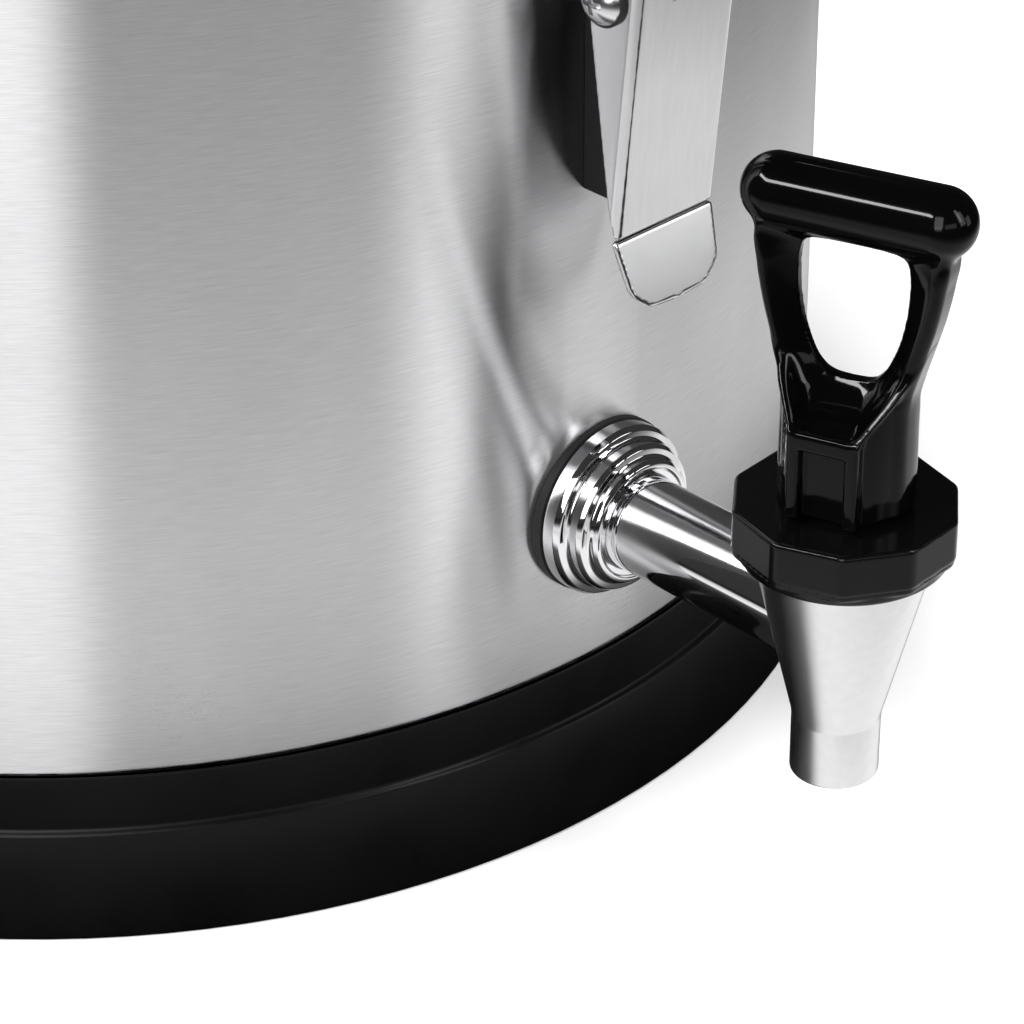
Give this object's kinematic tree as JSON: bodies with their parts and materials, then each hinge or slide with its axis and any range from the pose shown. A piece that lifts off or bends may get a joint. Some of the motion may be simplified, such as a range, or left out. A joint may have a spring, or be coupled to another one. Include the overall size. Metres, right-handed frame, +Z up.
{
  "type": "coffee urn",
  "caption": "Insulated stainless coffee urn on a black base, with a chrome tap worked by a D handle, a latched lid and drop handles",
  "frame": {"origin": "centre of the flat underside", "axes": "+Z is up, and the tap points along -Y"},
  "size_m": [0.355, 0.4152, 0.294],
  "materials": {
    "steel_body": "fine circumferential brushing",
    "chrome": "bright plated",
    "latch_steel": "bright rolled sheet",
    "zinc": "zinc plated",
    "black_base": "satin moulded",
    "black_gloss": "glossy moulded",
    "black_satin": "satin moulded",
    "seal_rubber": "moulded rubber",
    "silicone": "translucent silicone",
    "foam": "rigid foam"
  },
  "bodies": {
    "root": {"base_cup": "black_base", "base_screws": "zinc", "base_studs": "zinc", "outer_shell": "steel_body", "inner_vessel": "steel_body", "foam_insulation": "foam", "rim_collar": "black_satin", "tap_gasket": "seal_rubber", "tap_collar": "chrome", "tap_shank": "chrome", "shank_sleeve": "silicone", "shank_seal": "silicone", "shank_nut": "zinc", "tap_body": "chrome", "bonnet": "black_satin", "bonnet_seal": "seal_rubber", "latch_bases": "black_gloss", "latch_base_screws": "zinc", "pivot_screws": "chrome", "handle_brackets": "latch_steel", "bracket_rivets": "latch_steel"},
    "swivel": {"swivel_washer": "chrome"},
    "stem": {"valve_stem": "chrome", "seat_cup": "silicone", "valve_spring": "chrome", "handle_pin": "chrome"},
    "handle": {"tap_handle": "black_gloss"},
    "lever_front": {"latch_lever_front": "latch_steel", "link_screw_front": "chrome", "link_washers_front": "seal_rubber", "link_nut_front": "chrome"},
    "lever_rear": {"latch_lever_rear": "latch_steel", "link_screw_rear": "chrome", "link_washers_rear": "seal_rubber", "link_nut_rear": "chrome"},
    "link_front": {"latch_link_front": "latch_steel"},
    "link_rear": {"latch_link_rear": "latch_steel"},
    "drop_left": {"handle_left": "chrome", "grip_left": "black_satin"},
    "drop_right": {"handle_right": "chrome", "grip_right": "black_satin"},
    "lid": {"lid_cover": "black_satin", "lid_liner": "steel_body", "lid_foam": "foam", "lid_gasket": "silicone", "lid_handle": "black_satin", "lid_handle_screws": "zinc", "vent_seat": "chrome", "lid_keepers": "latch_steel", "keeper_rivets": "latch_steel"},
    "vent": {"vent_knob": "black_satin"}
  },
  "joints": [
    {"name": "handle_swivel", "type": "hinge", "parent": "root", "child": "swivel", "pos_m": [0, -0.217, 0.096], "axis": [0, 0, 1], "continuous": true},
    {"name": "stem_lift", "type": "slide", "parent": "swivel", "child": "stem", "axis": [0, 0, 1], "range_m": [0, 0.0043], "deforming": ["valve_spring"]},
    {"name": "handle_tilt", "type": "hinge", "parent": "stem", "child": "handle", "pos_m": [0, -0.217, 0.103], "axis": [-0.3355, 0.942, 0], "range_deg": [0, 22], "stiffness_Nm_per_rad": 1, "springref_deg": -5.73},
    {"name": "lid_lift", "type": "slide", "parent": "root", "child": "lid", "axis": [0, 0, 1], "range_m": [0, 0.03]},
    {"name": "vent_lift", "type": "slide", "parent": "lid", "child": "vent", "axis": [0, 0, 1], "range_m": [0, 0.006]},
    {"name": "lever_front_open", "type": "hinge", "parent": "root", "child": "lever_front", "pos_m": [0, -0.1699, 0.1934], "axis": [-1, 0, 0], "range_deg": [0, 16]},
    {"name": "link_front_swing", "type": "hinge", "parent": "lever_front", "child": "link_front", "pos_m": [0, -0.1671, 0.1824], "axis": [1, 0, 0], "range_deg": [0, 56]},
    {"name": "lever_rear_open", "type": "hinge", "parent": "root", "child": "lever_rear", "pos_m": [0, 0.1699, 0.1934], "axis": [1, 0, 0], "range_deg": [0, 46]},
    {"name": "link_rear_swing", "type": "hinge", "parent": "lever_rear", "child": "link_rear", "pos_m": [0, 0.1671, 0.1824], "axis": [-1, 0, 0], "range_deg": [0, 80]},
    {"name": "drop_left_swing", "type": "hinge", "parent": "root", "child": "drop_left", "pos_m": [-0.1675, 0, 0.196], "axis": [0, 1, 0], "range_deg": [0, 110]},
    {"name": "drop_right_swing", "type": "hinge", "parent": "root", "child": "drop_right", "pos_m": [0.1675, 0, 0.196], "axis": [0, -1, 0], "range_deg": [0, 110]}
  ],
  "couplings": [
    {"joint": "stem_lift", "follows": "handle_tilt", "m_per_rad": 0.011},
    {"joint": "lever_front_open", "follows": "lid_lift", "rad_per_m": 9.3},
    {"joint": "link_front_swing", "follows": "lid_lift", "rad_per_m": 32.5},
    {"joint": "lever_rear_open", "follows": "lid_lift", "rad_per_m": 26.75},
    {"joint": "link_rear_swing", "follows": "lid_lift", "rad_per_m": 46.5}
  ]
}
